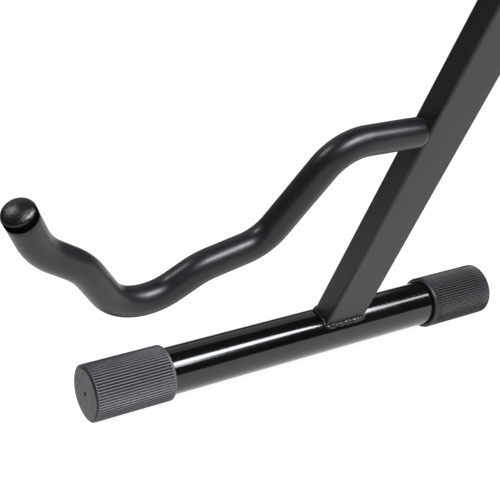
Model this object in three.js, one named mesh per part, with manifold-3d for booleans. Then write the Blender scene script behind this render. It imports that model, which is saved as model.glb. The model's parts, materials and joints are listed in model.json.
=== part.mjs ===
// Folding A-frame guitar stand. Two mirrored halves, each a leg welded to a foot and carrying a
// sleeved cradle arm, swing on their own pivot bolts in a head made of two plates.
// Millimetres. +X is the stand's width, -Y its front, +Z up. The origin is on the floor, in the
// middle of the stand's bounding box.
import * as THREE from "three";
import { mergeVertices } from "three/addons/utils/BufferGeometryUtils.js";
import Module from "manifold-3d";

const wasm = await Module();
wasm.setup();

// ---------------------------------------------------------------- driving dimensions

const GAP = 0.3; // clearance between pieces that touch or pass through each other
const WASHER_PLAY = 0.3; // clearance on each face of a thrust washer

// Stance of the open stand
const LEG_SPLAY = THREE.MathUtils.degToRad(26.7); // each leg from the middle, in the legs' plane
const LEG_RAKE = THREE.MathUtils.degToRad(5.52); // lean of the legs' plane to the back
const LEG_TO_PIVOT = 410; // along the leg, from the foot's axis to the pivot
const FOLDED_CAP_GAP = 2; // between the two feet's caps when the stand is folded

// Leg, a rectangular tube with its narrow faces to the front and the back
const LEG_WIDTH = 13.5;
const LEG_DEPTH = 27;
const LEG_WALL = 1;
const LEG_CORNER = 1.8;
const LEG_TOP_GAP = 2.4; // between the tops of the two open legs
const LEG_PLUG_HEAD = 2;
const LEG_PLUG_TO_BUSH = 5; // from the plug's spigot down to the pivot bush

// Foot, a round tube with a rubber cap on each end
const FOOT_FRONT = 153.5; // from the leg's axis to the front end, with its cap
const FOOT_REAR = 110.6; // from the leg's axis to the rear end, with its cap
const FOOT_RADIUS = 12.7;
const FOOT_WALL = 1.5;
const CAP_LENGTH = 44.6;
const CAP_WALL = 2;
const CAP_END = 3.5;
const CAP_CHAMFER = 1.2;
const DIMPLE_RADIUS = 1.1; // the moulding dimple in the middle of a cap's end
const DIMPLE_DEPTH = 2;
const WELD_SIZE = 2.5; // how far the bead at the leg's base reaches out

// Cradle arm, a bent rod in a soft sleeve
const ARM_HEIGHT = 141; // where it leaves the leg, up the leg's plane from the foot's axis
const ROD_RADIUS = 5;
const ROD_END_CLEARANCE = 2; // from the rod's inner end to the leg's rear wall
const SLEEVE_WALL = 2.35;
const PLUG_SPIGOT = 8;
const PLUG_SIDE = 3.2; // straight side of the end plug, before its dome
const PLUG_DOME = 4.2;
const PLUG_FULLNESS = 0.6; // below 1, the dome keeps its width and turns in late
// Corners of the arm's centreline, forward from the leg's front face and up from the arm's
// root, each rounded by a bend of the given radius.
const ARM_CORNERS = [
  { forward: 46.6, up: 0, bend: 24 },
  { forward: 75, up: -55, bend: 23 },
  { forward: 107.5, up: -64, bend: 30 },
  { forward: 142, up: -89, bend: 26 },
  { forward: 170.5, up: -47.7, bend: 25 },
  { forward: 193, up: -31.7, bend: 25 },
];
const ARM_TIP = { forward: 202.9, up: -11.5 };

// Head
const PLATE_THICKNESS = 3;
const PLATE_PIVOT_MARGIN = 11.5; // plate around a pivot's centre
const PLATE_STOP_MARGIN = 16; // plate around the stop's centre
const STOP_RADIUS = 6;
const BOLT_RADIUS = 3;
const BOLT_HEAD_RADIUS = 5.25;
const BOLT_HEAD_HEIGHT = 3.3;
const BOLT_END = 1.5; // bolt that shows past its nut
const BUSH_RADIUS = 4.5;
const NUT_RADIUS = 5.8; // across the corners, halved
const NUT_HEIGHT = 6;
const NUT_WASHER_RADIUS = 6;
const NUT_WASHER_THICKNESS = 1.2;
const THRUST_WASHER_RADIUS = 6;
const THRUST_WASHER_THICKNESS = 1;
const PAD_THICKNESS = 10;
const PAD_OVERHANG = 1.5; // pad past the plate's edge
const POCKET_CLEARANCE = 0.5; // around a bolt head in the pad

// Facets on round pieces
const FOOT_SIDES = 32;
const BOLT_SIDES = 16;
const SLEEVE_SIDES = 12;
const ROD_SIDES = 12;
const ARM_STEP = 6; // between sections along the arm
const ARC_SEGMENTS = 8;
const CORNER_SEGMENTS = 2;

// ---------------------------------------------------------------- derived places

const capRadius = FOOT_RADIUS + GAP + CAP_WALL;
const footAxisHeight = capRadius;
const pivotOffset = capRadius + FOLDED_CAP_GAP / 2; // each pivot from the middle
const footOffset = pivotOffset + LEG_TO_PIVOT * Math.sin(LEG_SPLAY);

// Above its pivot a leg reaches up to its plug's head, whose corner nears the other leg's.
const reachAbovePivot = (
  pivotOffset - LEG_TOP_GAP / 2 - LEG_WIDTH / 2 * Math.cos(LEG_SPLAY)
) / Math.sin(LEG_SPLAY);
const legTop = LEG_TO_PIVOT + reachAbovePivot - GAP - LEG_PLUG_HEAD;

// The pivots' axes are square to the legs' plane, so a half's own plane, which holds its foot,
// leg and arm, is tilted inwards, its foot toes out, and its leg leans back in that plane.
const toeOut = Math.atan(Math.sin(LEG_RAKE) * Math.tan(LEG_SPLAY));
const planeTilt = Math.asin(Math.sin(LEG_SPLAY) * Math.cos(LEG_RAKE));
const legLean = Math.asin(Math.sin(LEG_RAKE) / Math.hypot(
  Math.cos(LEG_SPLAY),
  Math.sin(LEG_SPLAY) * Math.sin(LEG_RAKE),
));

// Places along the foot, at the arm's height, where the leg's middle and faces are and where the
// rod ends inside the leg
const legCentreAtArm = ARM_HEIGHT * Math.tan(legLean);
const legFaceAtArm = legCentreAtArm - LEG_DEPTH / 2 / Math.cos(legLean);
const legRearWallAtArm = legCentreAtArm + (LEG_DEPTH / 2 - LEG_WALL) / Math.cos(legLean);
const rodInnerEnd = legRearWallAtArm - ROD_RADIUS * Math.tan(legLean) - ROD_END_CLEARANCE;

const sleeveBore = ROD_RADIUS + GAP;
const sleeveRadius = sleeveBore + SLEEVE_WALL;
const bushBore = BOLT_RADIUS + GAP;

// Layers of the head, as distances from its middle plane
const plateInside = LEG_DEPTH / 2 + THRUST_WASHER_THICKNESS + 2 * WASHER_PLAY;
const plateOutside = plateInside + PLATE_THICKNESS;
const nutSeat = plateOutside + NUT_WASHER_THICKNESS + 2 * GAP;
const padBack = plateOutside + GAP;

// The stop stands where both open legs rest on it.
const stopHeight = (
  pivotOffset * Math.cos(LEG_SPLAY) - LEG_WIDTH / 2 - STOP_RADIUS - GAP
) / Math.sin(LEG_SPLAY);

// ---------------------------------------------------------------- finishes

const FINISHES = {
  glossPaint: { color: 0x0a0a0b, roughness: 0.12, metalness: 0 },
  powderCoat: { color: 0x1d1d20, roughness: 0.5, metalness: 0 },
  capRubber: { color: 0x1c1c1e, roughness: 0.8, metalness: 0 },
  sleeveFoam: { color: 0x252527, roughness: 0.55, metalness: 0 },
  plugRubber: { color: 0x0c0c0d, roughness: 0.35, metalness: 0 },
  blackPlastic: { color: 0x141415, roughness: 0.6, metalness: 0 },
  nylon: { color: 0xd8d6cc, roughness: 0.5, metalness: 0 },
  blackSteel: { color: 0x2a2a2c, roughness: 0.35, metalness: 1 },
  bareSteel: { color: 0x9a9a9c, roughness: 0.4, metalness: 1 },
  padFoam: { color: 0x1a1a1b, roughness: 0.85, metalness: 0 },
};

// ---------------------------------------------------------------- shape helpers

// A three.js geometry as a solid that can be cut and joined
function solidOf(geometry) {
  const bare = geometry.clone();
  bare.deleteAttribute("normal");
  bare.deleteAttribute("uv");
  const merged = mergeVertices(bare, 1e-4);
  const triVerts = new Uint32Array(merged.index.array);
  const vertProperties = merged.getAttribute("position").array;
  return new wasm.Manifold(new wasm.Mesh({ numProp: 3, vertProperties, triVerts }));
}

function geometryOf(solid) {
  const mesh = solid.getMesh();
  const geometry = new THREE.BufferGeometry();
  geometry.setAttribute("position", new THREE.BufferAttribute(mesh.vertProperties, 3));
  geometry.setIndex(new THREE.BufferAttribute(mesh.triVerts, 1));
  geometry.computeVertexNormals();
  return geometry;
}

function addPiece(parent, name, shape, finish) {
  const geometry = shape.isBufferGeometry ? shape : geometryOf(shape);
  const mesh = new THREE.Mesh(geometry, new THREE.MeshStandardMaterial(FINISHES[finish]));
  mesh.name = name;
  parent.add(mesh);
}

// A turned piece around Y, from [radius, place along Y] pairs. Its flats touch the true circle,
// and one of them faces straight down.
function turned(profile, sides) {
  const grow = 1 / Math.cos(Math.PI / sides);
  const points = profile.map(([radius, along]) => new THREE.Vector2(radius * grow, along));
  if (THREE.ShapeUtils.area(points) < 0) points.reverse();
  return new THREE.LatheGeometry(points, sides, Math.PI / sides);
}

function turnedRing(inside, outside, from, to, sides) {
  return turned([
    [inside, from],
    [outside, from],
    [outside, to],
    [inside, to],
    [inside, from],
  ], sides);
}

function rodAlongY(radius, from, to, sides) {
  return turned([
    [0, from],
    [radius, from],
    [radius, to],
    [0, to],
  ], sides);
}

// A polygon whose flats touch the circle of the given radius
function roundOutline(radius, sides, outline = new THREE.Shape()) {
  const corner = radius / Math.cos(Math.PI / sides);
  const turns = Array.from({ length: sides }, (_, i) => (i + 0.5) * 2 * Math.PI / sides);
  const points = turns.map((a) => new THREE.Vector2(corner * Math.cos(a), corner * Math.sin(a)));
  return outline.setFromPoints(points);
}

function roundedRectangle(width, depth, corner) {
  const x = width / 2;
  const y = depth / 2;
  const quarter = Math.PI / 2;
  const shape = new THREE.Shape();
  shape.absarc(x - corner, y - corner, corner, 0, quarter);
  shape.absarc(corner - x, y - corner, corner, quarter, 2 * quarter);
  shape.absarc(corner - x, corner - y, corner, 2 * quarter, 3 * quarter);
  shape.absarc(x - corner, corner - y, corner, 3 * quarter, 4 * quarter);
  return shape;
}

function prism(shape, from, to, curveSegments) {
  const options = { depth: to - from, bevelEnabled: false, curveSegments };
  return new THREE.ExtrudeGeometry(shape, options).translate(0, 0, from);
}

// A flat piece that stands in the XZ plane, between two places along Y
function platePiece(shape, from, to) {
  return prism(shape, -to, -from, ARC_SEGMENTS).rotateX(Math.PI / 2);
}

// The outline around several circles, [x, y, radius], given in anticlockwise order
function outlineAround(circles) {
  const shape = new THREE.Shape();
  const tangentAngle = ([x0, y0, r0], [x1, y1, r1]) => {
    const heading = Math.atan2(y1 - y0, x1 - x0);
    return heading - Math.acos((r0 - r1) / Math.hypot(x1 - x0, y1 - y0));
  };
  circles.forEach((circle, i) => {
    const before = circles.at(i - 1);
    const after = circles[(i + 1) % circles.length];
    const [x, y, radius] = circle;
    shape.absarc(x, y, radius, tangentAngle(before, circle), tangentAngle(circle, after));
  });
  return shape;
}

// ---------------------------------------------------------------- the arm's centreline

class Bend extends THREE.Curve {
  constructor(corner, before, after, radius) {
    super();
    const into = corner.clone().sub(before).normalize();
    const out = after.clone().sub(corner).normalize();
    this.angle = into.angleTo(out);
    this.axis = into.clone().cross(out).normalize();
    const tangent = radius * Math.tan(this.angle / 2);
    const start = corner.clone().addScaledVector(into, -tangent);
    this.centre = this.axis.clone().cross(into).multiplyScalar(radius).add(start);
    this.spoke = start.sub(this.centre);
  }

  getPoint(t, target = new THREE.Vector3()) {
    return target.copy(this.spoke).applyAxisAngle(this.axis, t * this.angle).add(this.centre);
  }
}

// Straights between the corners, with an arc at each
function bentPath(start, corners, end) {
  const path = new THREE.CurvePath();
  const stations = [start, ...corners.map((corner) => corner.point), end];
  let reached = start;
  corners.forEach((corner, i) => {
    const bend = new Bend(corner.point, stations[i], stations[i + 2], corner.bend);
    path.add(new THREE.LineCurve3(reached, bend.getPoint(0)));
    path.add(bend);
    reached = bend.getPoint(1);
  });
  path.add(new THREE.LineCurve3(reached, end));
  return path;
}

function sweep(shape, path) {
  const steps = Math.round(path.getLength() / ARM_STEP);
  return new THREE.ExtrudeGeometry(shape, { steps, extrudePath: path });
}

// ---------------------------------------------------------------- foot, in the foot's frame

// A cup over the tube's end. Its closed end is at the origin and its mouth towards +Y.
function footCap() {
  return turned([
    [0, DIMPLE_DEPTH],
    [DIMPLE_RADIUS, DIMPLE_DEPTH],
    [DIMPLE_RADIUS, 0],
    [capRadius - CAP_CHAMFER, 0],
    [capRadius, CAP_CHAMFER],
    [capRadius, CAP_LENGTH],
    [FOOT_RADIUS + GAP, CAP_LENGTH],
    [FOOT_RADIUS + GAP, CAP_END],
    [0, CAP_END],
  ], FOOT_SIDES);
}

function addFoot(foot, side) {
  const seat = CAP_END + GAP;
  const bore = FOOT_RADIUS - FOOT_WALL;
  const tube = turnedRing(bore, FOOT_RADIUS, seat - FOOT_FRONT, FOOT_REAR - seat, FOOT_SIDES);
  addPiece(foot, `foot_tube_${side}`, tube, "glossPaint");
  const front = footCap().translate(0, -FOOT_FRONT, 0);
  addPiece(foot, `foot_cap_front_${side}`, front, "capRubber");
  const rear = footCap().rotateZ(Math.PI).translate(0, FOOT_REAR, 0);
  addPiece(foot, `foot_cap_rear_${side}`, rear, "capRubber");
}

// ---------------------------------------------------------------- leg, in the leg's frame

// Solids of the foot's frame, turned into the leg's frame, whose +Z runs up the leg
const footRodInLeg = (radius) =>
  solidOf(rodAlongY(radius, -LEG_DEPTH * 2, LEG_DEPTH * 2, FOOT_SIDES).rotateX(legLean));

function legPrism(grow, from, to) {
  const outline = roundedRectangle(LEG_WIDTH + 2 * grow, LEG_DEPTH + 2 * grow, LEG_CORNER + grow);
  return solidOf(prism(outline, from, to, CORNER_SEGMENTS));
}

function legTube() {
  const outline = roundedRectangle(LEG_WIDTH, LEG_DEPTH, LEG_CORNER);
  const innerCorner = Math.max(LEG_CORNER - LEG_WALL, GAP);
  const inside = roundedRectangle(LEG_WIDTH - 2 * LEG_WALL, LEG_DEPTH - 2 * LEG_WALL, innerCorner);
  outline.holes.push(new THREE.Path(inside.getPoints(CORNER_SEGMENTS)));
  const bushHole = rodAlongY(BUSH_RADIUS + GAP, -LEG_DEPTH, LEG_DEPTH, BOLT_SIDES);
  const rodHole = rodAlongY(ROD_RADIUS + GAP, -LEG_DEPTH, rodInnerEnd + GAP, BOLT_SIDES);
  rodHole.translate(0, 0, ARM_HEIGHT);
  return solidOf(prism(outline, 0, legTop, CORNER_SEGMENTS))
    .subtract(footRodInLeg(FOOT_RADIUS + GAP))
    .subtract(solidOf(bushHole.translate(0, 0, LEG_TO_PIVOT)))
    .subtract(solidOf(rodHole.rotateX(legLean)));
}

// The bead lies in the corner between the leg's base and the foot tube, all the way round.
function footWeld() {
  return legPrism(GAP + WELD_SIZE, 0, FOOT_RADIUS * 3)
    .intersect(footRodInLeg(FOOT_RADIUS + GAP + WELD_SIZE))
    .subtract(footRodInLeg(FOOT_RADIUS + GAP))
    .subtract(legPrism(GAP, -FOOT_RADIUS, FOOT_RADIUS * 4));
}

function legTopPlug() {
  const fit = -LEG_WALL - GAP;
  const headFrom = legTop + GAP;
  const headTo = headFrom + LEG_PLUG_HEAD;
  const spigotFrom = LEG_TO_PIVOT + BUSH_RADIUS + LEG_PLUG_TO_BUSH;
  return legPrism(0, headFrom, headTo).add(legPrism(fit, spigotFrom, headTo));
}

function addLeg(leg, side) {
  addPiece(leg, `leg_tube_${side}`, legTube(), "powderCoat");
  addPiece(leg, `foot_weld_${side}`, footWeld(), "powderCoat");
  addPiece(leg, `leg_top_plug_${side}`, legTopPlug(), "blackPlastic");
  const bush = turnedRing(bushBore, BUSH_RADIUS, -LEG_DEPTH / 2, LEG_DEPTH / 2, BOLT_SIDES);
  addPiece(leg, `pivot_bush_${side}`, bush.translate(0, 0, LEG_TO_PIVOT), "bareSteel");
}

// ---------------------------------------------------------------- arm, in the half's plane

const armPoint = ({ forward, up }) =>
  new THREE.Vector3(0, legFaceAtArm - forward, ARM_HEIGHT + up);

// The centreline from a start behind the leg's front face to a stretch before the sleeve's end
function armPath(startY, short) {
  const corners = ARM_CORNERS.map((corner) => ({ point: armPoint(corner), bend: corner.bend }));
  const tip = armPoint(ARM_TIP);
  const last = corners.at(-1).point;
  const end = tip.clone().add(last.clone().sub(tip).setLength(short));
  return bentPath(new THREE.Vector3(0, startY, ARM_HEIGHT), corners, end);
}

function armRod() {
  const path = armPath(rodInnerEnd, PLUG_SPIGOT + GAP);
  return sweep(roundOutline(ROD_RADIUS, ROD_SIDES), path);
}

// The sleeve's root is cut along the leg's front face.
function armSleeve() {
  const section = roundOutline(sleeveRadius, SLEEVE_SIDES);
  section.holes.push(roundOutline(sleeveBore, SLEEVE_SIDES, new THREE.Path()));
  const legSlab = new THREE.BoxGeometry(4 * sleeveRadius, LEG_DEPTH + 2 * GAP, 2 * legTop);
  const path = armPath(legCentreAtArm, 0);
  return solidOf(sweep(section, path)).subtract(solidOf(legSlab.rotateX(-legLean)));
}

// A domed plug in the sleeve's end, turned around Y and then aimed along the arm's last straight
function armEndPlug() {
  const domeRise = PLUG_SIDE + PLUG_DOME;
  const dome = [1, 2, 3, 4].map((i) => {
    const turn = i / 5 * Math.PI / 2;
    const radius = sleeveRadius * Math.cos(turn) ** PLUG_FULLNESS;
    return [radius, PLUG_SIDE + PLUG_DOME * Math.sin(turn)];
  });
  const plug = turned([
    [0, -PLUG_SPIGOT],
    [ROD_RADIUS, -PLUG_SPIGOT],
    [ROD_RADIUS, GAP],
    [sleeveRadius, GAP],
    [sleeveRadius, PLUG_SIDE],
    ...dome,
    [0, domeRise],
  ], BOLT_SIDES);
  const tip = armPoint(ARM_TIP);
  const heading = tip.clone().sub(armPoint(ARM_CORNERS.at(-1))).normalize();
  const aim = new THREE.Quaternion().setFromUnitVectors(new THREE.Vector3(0, 1, 0), heading);
  return plug.applyQuaternion(aim).translate(tip.x, tip.y, tip.z);
}

function addArm(plane, side) {
  addPiece(plane, `arm_rod_${side}`, armRod(), "bareSteel");
  addPiece(plane, `arm_sleeve_${side}`, armSleeve(), "sleeveFoam");
  addPiece(plane, `arm_end_plug_${side}`, armEndPlug(), "plugRubber");
}

// ---------------------------------------------------------------- one half of the stand

function standHalf(side, mirror) {
  const half = new THREE.Group();
  half.scale.x = mirror;
  const foot = new THREE.Group();
  foot.position.set(-footOffset, 0, footAxisHeight);
  foot.rotation.z = -toeOut;
  const plane = new THREE.Group();
  plane.rotation.y = planeTilt;
  const leg = new THREE.Group();
  leg.rotation.x = -legLean;
  half.add(foot);
  foot.add(plane);
  plane.add(leg);
  addFoot(foot, side);
  addLeg(leg, side);
  addArm(plane, side);
  return half;
}

// ---------------------------------------------------------------- head, in the legs' plane

const BOLTS = [
  { side: "left", x: -pivotOffset, z: 0 },
  { side: "right", x: pivotOffset, z: 0 },
  { side: "stop", x: 0, z: stopHeight },
];

function headOutline(margin) {
  return outlineAround([
    [-pivotOffset, 0, PLATE_PIVOT_MARGIN + margin],
    [pivotOffset, 0, PLATE_PIVOT_MARGIN + margin],
    [0, stopHeight, PLATE_STOP_MARGIN + margin],
  ]);
}

function headPlate(from, to) {
  const shape = headOutline(0);
  BOLTS.forEach(({ x, z }) => {
    const hole = new THREE.Path().absarc(x, z, BOLT_RADIUS + GAP, 0, 2 * Math.PI);
    shape.holes.push(hole);
  });
  return platePiece(shape, from, to);
}

// Its head is in front of the front plate, and its end shows behind the nut.
function bolt() {
  const seat = -plateOutside - GAP;
  const end = nutSeat + NUT_HEIGHT + BOLT_END;
  const crown = BOLT_HEAD_RADIUS * 0.6;
  return turned([
    [0, seat - BOLT_HEAD_HEIGHT],
    [crown, seat - BOLT_HEAD_HEIGHT],
    [BOLT_HEAD_RADIUS, seat - BOLT_HEAD_HEIGHT / 3],
    [BOLT_HEAD_RADIUS, seat],
    [BOLT_RADIUS, seat],
    [BOLT_RADIUS, end],
    [0, end],
  ], BOLT_SIDES);
}

function nut() {
  const corners = Array.from({ length: 6 }, (_, i) => i * Math.PI / 3);
  const shape = new THREE.Shape(corners.map((a) =>
    new THREE.Vector2(NUT_RADIUS * Math.cos(a), NUT_RADIUS * Math.sin(a))));
  shape.holes.push(new THREE.Path().absarc(0, 0, BOLT_RADIUS + GAP, 0, 2 * Math.PI));
  return platePiece(shape, nutSeat, nutSeat + NUT_HEIGHT);
}

function nutWasher() {
  const from = plateOutside + GAP;
  const to = from + NUT_WASHER_THICKNESS;
  return turnedRing(BOLT_RADIUS + GAP, NUT_WASHER_RADIUS, from, to, BOLT_SIDES);
}

function thrustWasher(face) {
  const near = face * (LEG_DEPTH / 2 + WASHER_PLAY);
  const far = near + face * THRUST_WASHER_THICKNESS;
  return turnedRing(BOLT_RADIUS + GAP, THRUST_WASHER_RADIUS, near, far, BOLT_SIDES);
}

function stopSpacer() {
  const reach = plateInside - GAP;
  return turnedRing(BOLT_RADIUS + GAP, STOP_RADIUS, -reach, reach, BOLT_SIDES);
}

// A soft block over the front plate, with a pocket behind it for each bolt head
function backPad() {
  const block = solidOf(platePiece(headOutline(PAD_OVERHANG), -padBack - PAD_THICKNESS, -padBack));
  const pocketDepth = BOLT_HEAD_HEIGHT + POCKET_CLEARANCE;
  return BOLTS.reduce((pad, { x, z }) => {
    const radius = BOLT_HEAD_RADIUS + POCKET_CLEARANCE;
    const pocket = rodAlongY(radius, -padBack - pocketDepth, -plateInside, BOLT_SIDES);
    return pad.subtract(solidOf(pocket.translate(x, 0, z)));
  }, block);
}

function standHead() {
  const head = new THREE.Group();
  head.rotation.x = -LEG_RAKE;
  const rise = LEG_TO_PIVOT * Math.cos(LEG_SPLAY);
  const pivotHeight = footAxisHeight + rise * Math.cos(LEG_RAKE);
  head.position.set(0, rise * Math.sin(LEG_RAKE), pivotHeight);
  addPiece(head, "head_plate_front", headPlate(-plateOutside, -plateInside), "powderCoat");
  addPiece(head, "head_plate_rear", headPlate(plateInside, plateOutside), "powderCoat");
  addPiece(head, "stop_spacer", stopSpacer().translate(0, 0, stopHeight), "bareSteel");
  addPiece(head, "back_pad", backPad(), "padFoam");
  BOLTS.forEach(({ side, x, z }) => {
    const kind = side === "stop" ? "" : "pivot_";
    addPiece(head, `${kind}bolt_${side}`, bolt().translate(x, 0, z), "blackSteel");
    addPiece(head, `${kind}nut_${side}`, nut().translate(x, 0, z), "blackSteel");
    addPiece(head, `nut_washer_${side}`, nutWasher().translate(x, 0, z), "blackSteel");
  });
  [-1, 1].forEach((end) => {
    const side = end < 0 ? "left" : "right";
    const front = thrustWasher(-1).translate(end * pivotOffset, 0, 0);
    addPiece(head, `thrust_washer_front_${side}`, front, "nylon");
    const rear = thrustWasher(1).translate(end * pivotOffset, 0, 0);
    addPiece(head, `thrust_washer_rear_${side}`, rear, "nylon");
  });
  return head;
}

// ---------------------------------------------------------------- the whole stand

const stand = new THREE.Group();
stand.name = "guitar_stand";
stand.add(standHalf("left", 1), standHalf("right", -1), standHead());
stand.updateMatrixWorld(true);
const middle = new THREE.Box3().setFromObject(stand, true).getCenter(new THREE.Vector3());
stand.position.y = -middle.y;

export default stand;
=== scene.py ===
import json
from math import acos, asin, atan, atan2, cos, hypot, pi, radians, sin, sqrt, tan

import bpy
from mathutils import Matrix, Vector, noise


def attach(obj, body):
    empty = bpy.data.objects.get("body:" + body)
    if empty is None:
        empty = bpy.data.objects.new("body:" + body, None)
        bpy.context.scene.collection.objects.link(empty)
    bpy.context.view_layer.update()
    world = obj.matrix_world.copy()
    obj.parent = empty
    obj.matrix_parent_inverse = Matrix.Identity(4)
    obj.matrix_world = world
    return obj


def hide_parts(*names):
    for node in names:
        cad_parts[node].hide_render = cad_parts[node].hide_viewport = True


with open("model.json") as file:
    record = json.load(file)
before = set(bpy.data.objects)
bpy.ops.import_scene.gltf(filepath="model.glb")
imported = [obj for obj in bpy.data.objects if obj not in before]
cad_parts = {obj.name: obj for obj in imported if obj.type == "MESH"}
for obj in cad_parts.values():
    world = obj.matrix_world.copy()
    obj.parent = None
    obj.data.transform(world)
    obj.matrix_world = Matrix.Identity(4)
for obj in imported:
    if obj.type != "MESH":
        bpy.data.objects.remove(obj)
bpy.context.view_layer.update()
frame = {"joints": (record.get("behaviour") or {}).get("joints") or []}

# Folding guitar stand. Each half is built once in the frames of its foot, its leg and its plane,
# and mirrored for the other side. Metres, row frame: +X across, -Y front, +Z up.

MM = 0.001

# ---------------------------------------------------------------- sizes, as in the CAD model

# The caps' radius is a hair under the CAD's, and the arm's last two bends are rounder.

GAP = 0.3 * MM
LEG_TO_PIVOT = 410 * MM
LEG_WIDTH = 13.5 * MM
LEG_DEPTH = 27 * MM
LEG_WALL = 1 * MM
LEG_CORNER = 1.5 * MM
LEG_PLUG_HEAD = 2 * MM
FOOT_FRONT = 153.5 * MM
FOOT_REAR = 110.6 * MM
FOOT_RADIUS = 12.7 * MM
FOOT_WALL = 1.5 * MM
CAP_RADIUS = 14.98 * MM
CAP_LENGTH = 44.6 * MM
CAP_END = 3.5 * MM
ARM_HEIGHT = 141 * MM
ROD_RADIUS = 5 * MM
SLEEVE_RADIUS = 7.65 * MM
SLEEVE_BORE = 5.3 * MM
PLUG_HEIGHT = 7.4 * MM
LEG_TOP_GAP = 2.4 * MM
PLATE_THICKNESS = 3 * MM
PLATE_PIVOT_MARGIN = 11.5 * MM
PLATE_STOP_MARGIN = 16 * MM
STOP_RADIUS = 6 * MM
BOLT_RADIUS = 3 * MM
BOLT_HEAD_RADIUS = 5.25 * MM
BOLT_HEAD_HEIGHT = 3.3 * MM
BOLT_END = 1.5 * MM
BUSH_RADIUS = 4.5 * MM
NUT_RADIUS = 5.8 * MM
NUT_HEIGHT = 6 * MM
NUT_WASHER_RADIUS = 6 * MM
NUT_WASHER_THICKNESS = 1.2 * MM
THRUST_WASHER_RADIUS = 6 * MM
THRUST_WASHER_THICKNESS = 1 * MM
WASHER_PLAY = 0.3 * MM
PAD_THICKNESS = 10 * MM
PAD_OVERHANG = 1.5 * MM

# Corners of the arm's centreline: forward of the leg's front face, up from the root, bend radius
ARM_CORNERS = [
    (46.6 * MM, 0, 24 * MM),
    (75 * MM, -55 * MM, 23 * MM),
    (107.5 * MM, -64 * MM, 30 * MM),
    (142 * MM, -89 * MM, 26 * MM),
    (170.5 * MM, -47.7 * MM, 45 * MM),
    (193 * MM, -31.7 * MM, 36 * MM),
]
ARM_TIP = (202.9 * MM, -11.5 * MM)

# ---------------------------------------------------------------- places, from the frame

joints = {joint["name"]: joint for joint in frame["joints"]}
left_fold = joints["left_leg_fold"]
left_pivot = Vector(left_fold["pos_m"])
pivot_offset = -left_pivot.x
leg_rake = atan2(left_fold["axis"][2], -left_fold["axis"][1])
leg_splay = radians(left_fold["range_deg"][1])

toe_out = atan(sin(leg_rake) * tan(leg_splay))
plane_tilt = asin(sin(leg_splay) * cos(leg_rake))
leg_lean = asin(sin(leg_rake) / hypot(cos(leg_splay), sin(leg_splay) * sin(leg_rake)))

leg_direction = Vector((sin(leg_splay), cos(leg_splay) * sin(leg_rake), cos(leg_splay) * cos(leg_rake)))
foot_place = left_pivot - LEG_TO_PIVOT * leg_direction

plate_inside = LEG_DEPTH / 2 + THRUST_WASHER_THICKNESS + 2 * WASHER_PLAY
plate_outside = plate_inside + PLATE_THICKNESS
nut_seat = plate_outside + NUT_WASHER_THICKNESS + 2 * GAP
pad_back = plate_outside + GAP
stop_height = (
    pivot_offset * cos(leg_splay) - LEG_WIDTH / 2 - STOP_RADIUS - GAP
) / sin(leg_splay)
reach_above_pivot = (
    pivot_offset - LEG_TOP_GAP / 2 - LEG_WIDTH / 2 * cos(leg_splay)
) / sin(leg_splay)
leg_top = LEG_TO_PIVOT + reach_above_pivot - GAP - LEG_PLUG_HEAD

# Frames of the left half and of the head
foot_frame = Matrix.Translation(foot_place) @ Matrix.Rotation(-toe_out, 4, "Z")
plane_frame = foot_frame @ Matrix.Rotation(plane_tilt, 4, "Y")
leg_frame = plane_frame @ Matrix.Rotation(-leg_lean, 4, "X")
head_place = Vector((0, left_pivot.y, left_pivot.z))
head_frame = Matrix.Translation(head_place) @ Matrix.Rotation(-leg_rake, 4, "X")

SIDES = {"left": Matrix.Identity(4), "right": Matrix.Diagonal((-1, 1, 1, 1))}

# ---------------------------------------------------------------- mesh helpers

SHARP_ANGLE = radians(38)
CORNER_STEPS = 6
RING_SIDES = 64


def add_mesh(name, rings, place, material, loop=False, sharp=SHARP_ANGLE, tone=None):
    """A closed piece through rings of points, each ring with as many points as the next.
    Its ends are closed with a point in the middle, or with loop=True the last ring joins the
    first. tone(point) is stored on the mesh for its material."""
    points = [point for ring in rings for point in ring]
    around = len(rings[0])
    faces = []
    spans = len(rings) if loop else len(rings) - 1
    for i in range(spans):
        near, far = i * around, (i + 1) % len(rings) * around
        for j in range(around):
            k = (j + 1) % around
            faces.append((near + j, near + k, far + k, far + j))
    if not loop:
        for start, flip in ((0, True), ((len(rings) - 1) * around, False)):
            ring = points[start:start + around]
            points.append(sum(ring, Vector()) / around)
            for j in range(around):
                edge = (start + j, start + (j + 1) % around)
                faces.append((*(reversed(edge) if flip else edge), len(points) - 1))
    mesh = bpy.data.meshes.new(name)
    mesh.from_pydata([place @ point for point in points], [], faces)
    if tone:
        values = mesh.attributes.new("tone", "FLOAT", "POINT").data
        for value, point in zip(values, points):
            value.value = tone(point)
    if signed_volume(mesh) < 0:
        mesh.flip_normals()
    mesh.shade_smooth()
    mesh.set_sharp_from_angle(angle=sharp)
    mesh.materials.append(material)
    piece = bpy.data.objects.new(name, mesh)
    bpy.context.scene.collection.objects.link(piece)
    return piece


def signed_volume(mesh):
    mesh.calc_loop_triangles()
    corners = mesh.vertices
    return sum(
        corners[a].co.dot(corners[b].co.cross(corners[c].co))
        for a, b, c in (triangle.vertices for triangle in mesh.loop_triangles)
    )


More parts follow.
